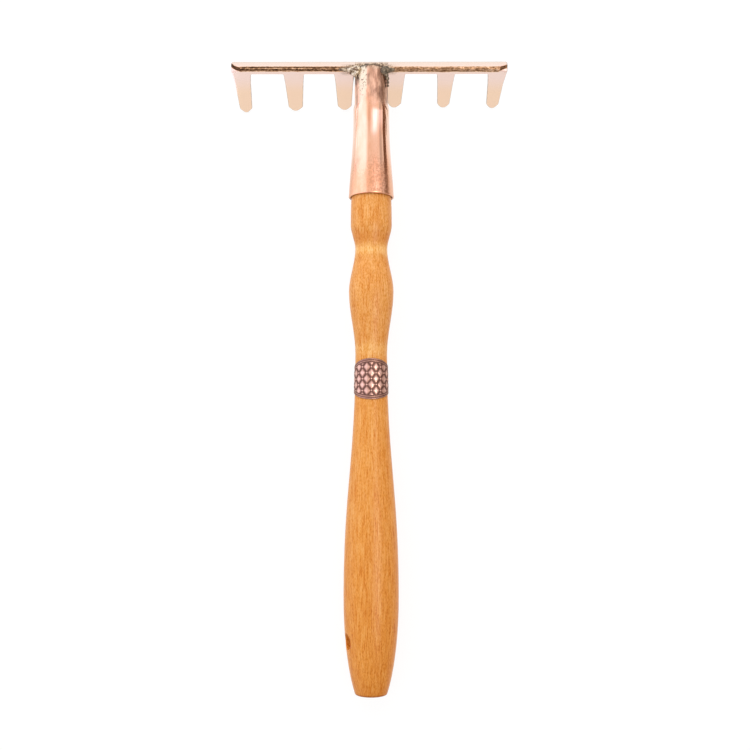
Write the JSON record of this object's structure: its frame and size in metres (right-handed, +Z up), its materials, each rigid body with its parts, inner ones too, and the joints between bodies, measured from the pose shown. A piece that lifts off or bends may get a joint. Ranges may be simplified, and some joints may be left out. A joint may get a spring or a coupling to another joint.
{
  "type": "garden hand rake",
  "caption": "Short-handled garden rake with a turned wooden grip, a hanging hole, a decorative waist band, a flared metal ferrule and a flat-tined head bent from sheet.",
  "frame": {"origin": "middle of the box's underside, on the surface that the rake lies on with its tine tips and its grip", "axes": "+Y along the handle towards the head, +X across the head, +Z up, away from the tine tips"},
  "size_m": [0.1782, 0.4014, 0.0405],
  "materials": {
    "head_sheet": "polished copper-alloy sheet",
    "ferrule_sheet": "polished copper-alloy sheet",
    "braze": "rough, heat-stained braze",
    "oiled_wood": "turned and oiled hardwood",
    "dark_copper": "antique darkened copper relief",
    "nails": "drawn copper-alloy wire, hammered heads"
  },
  "bodies": {
    "root": {"tine_head": "head_sheet", "ferrule": "ferrule_sheet", "braze_fill": "braze", "handle": "oiled_wood", "handle_band": "dark_copper", "ferrule_nail": "nails", "band_tacks": "nails"}
  },
  "joints": []
}
